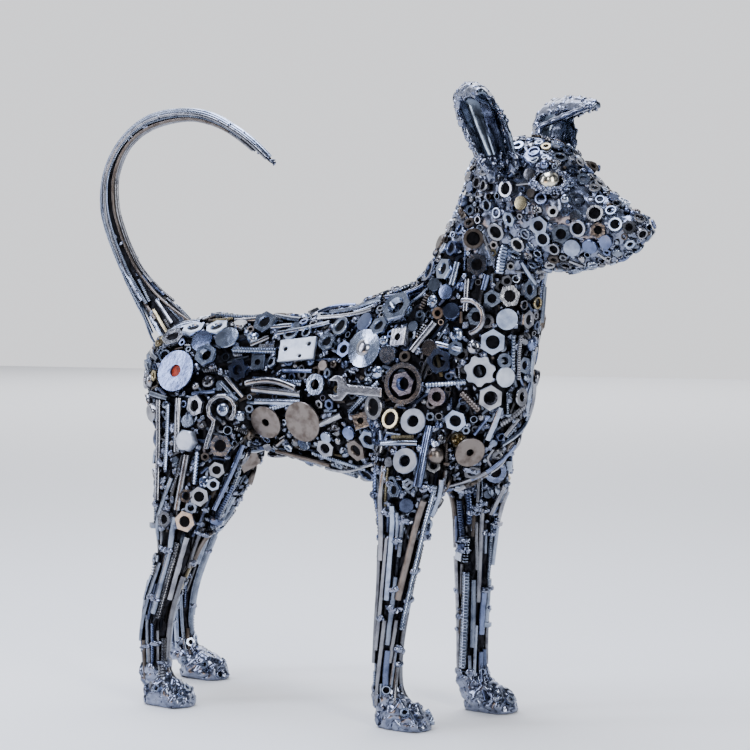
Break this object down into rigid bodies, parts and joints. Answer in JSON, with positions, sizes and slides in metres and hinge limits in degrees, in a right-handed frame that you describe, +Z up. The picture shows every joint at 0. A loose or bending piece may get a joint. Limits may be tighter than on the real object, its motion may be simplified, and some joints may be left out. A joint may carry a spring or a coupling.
{
  "type": "scrap metal dog sculpture",
  "caption": "Standing dog with a curled tail and folded ears, welded from steel nuts, washers, bolts and rods; stands on its own paws.",
  "frame": {"origin": "middle of the figure's box, at the level of the soles", "axes": "+Z up, +X towards the nose, +Y towards the dog's left side"},
  "size_m": [0.4294, 0.1296, 0.4044],
  "materials": {
    "welded_steel": "weld-darkened, satin",
    "rod_steel": "bare, part rusted",
    "bright_steel": "bare, satin",
    "ball_steel": "polished, slightly dulled"
  },
  "bodies": {
    "root": {"arm_washer": "bright_steel", "belly_disc": "bright_steel", "brisket_washer": "bright_steel", "chest_notched_washer": "bright_steel", "chest_nut": "bright_steel", "flank_disc": "bright_steel", "flank_rod": "bright_steel", "flank_washer": "bright_steel", "hip_washer": "bright_steel", "hole_plate": "bright_steel", "left_chest_nut": "bright_steel", "left_ear": "welded_steel", "left_eye_ball": "ball_steel", "left_flank_disc": "bright_steel", "left_front_leg": "rod_steel", "left_hind_leg": "rod_steel", "left_hip_washer": "bright_steel", "left_shoulder_ring": "bright_steel", "left_shoulder_washer": "bright_steel", "left_thigh_nut": "bright_steel", "neck_c_rod": "bright_steel", "right_ear": "welded_steel", "right_eye_ball": "ball_steel", "right_front_leg": "rod_steel", "right_hind_leg": "rod_steel", "ring_nut": "bright_steel", "rump_nut": "bright_steel", "shoulder_dome_washer": "bright_steel", "shoulder_ring": "bright_steel", "shoulder_spanner": "bright_steel", "shoulder_washer": "bright_steel", "tail": "rod_steel", "thigh_bolt_head": "bright_steel", "thigh_hook": "bright_steel", "thigh_screw_head": "bright_steel", "welded_shell": "welded_steel", "withers_nut": "bright_steel"}
  },
  "joints": []
}
